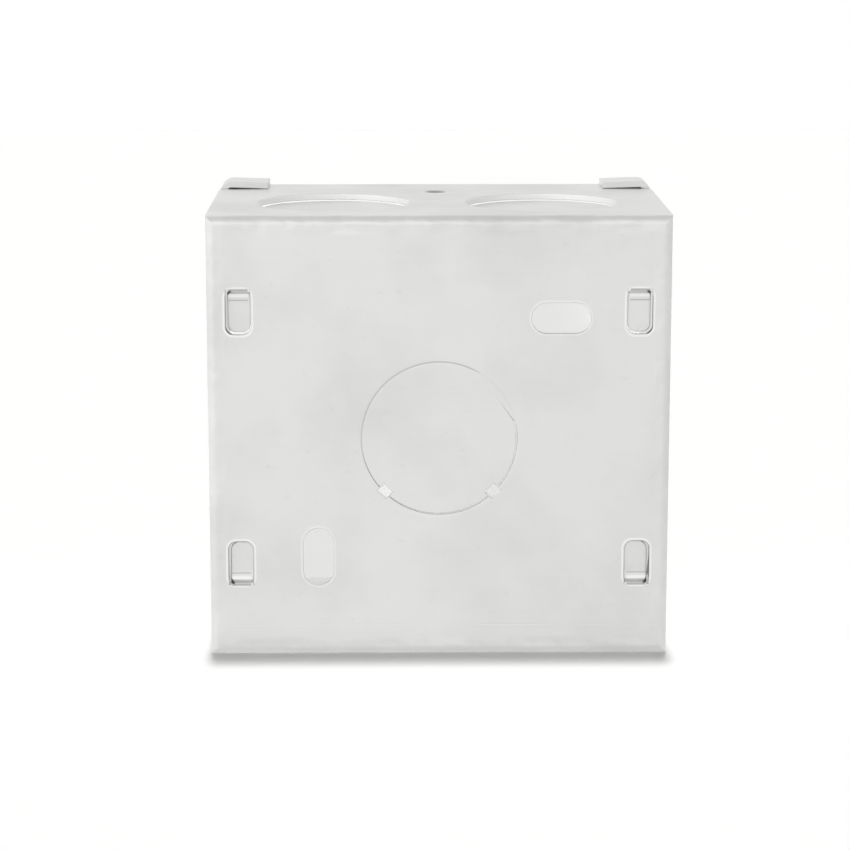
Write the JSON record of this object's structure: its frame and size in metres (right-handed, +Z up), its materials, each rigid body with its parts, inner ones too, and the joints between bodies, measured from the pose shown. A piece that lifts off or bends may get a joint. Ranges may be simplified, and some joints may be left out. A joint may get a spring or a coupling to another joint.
{
  "type": "metal back box",
  "caption": "Flush steel back box for a one-gang wall plate, folded from zinc-coated sheet, with round knockouts, crossed fixing slots, cover lugs and an earth screw.",
  "frame": {"origin": "under the middle of the box, level with the lowest faces of its lower corner tabs", "axes": "+Z up as the box stands in its picture, -Y out of the closed back, +Y out of the open front, +X to the right seen from the back"},
  "size_m": [0.075, 0.047, 0.075],
  "materials": {
    "zinc_steel": "hot-dip zinc coated sheet, satin, rolled",
    "lug_steel": "zinc plated, satin",
    "brass": "turned and pressed, satin"
  },
  "bodies": {
    "root": {"box_body": "zinc_steel", "lug_left": "lug_steel", "lug_right": "lug_steel", "earth_screw": "brass", "earth_washer": "brass"}
  },
  "joints": []
}
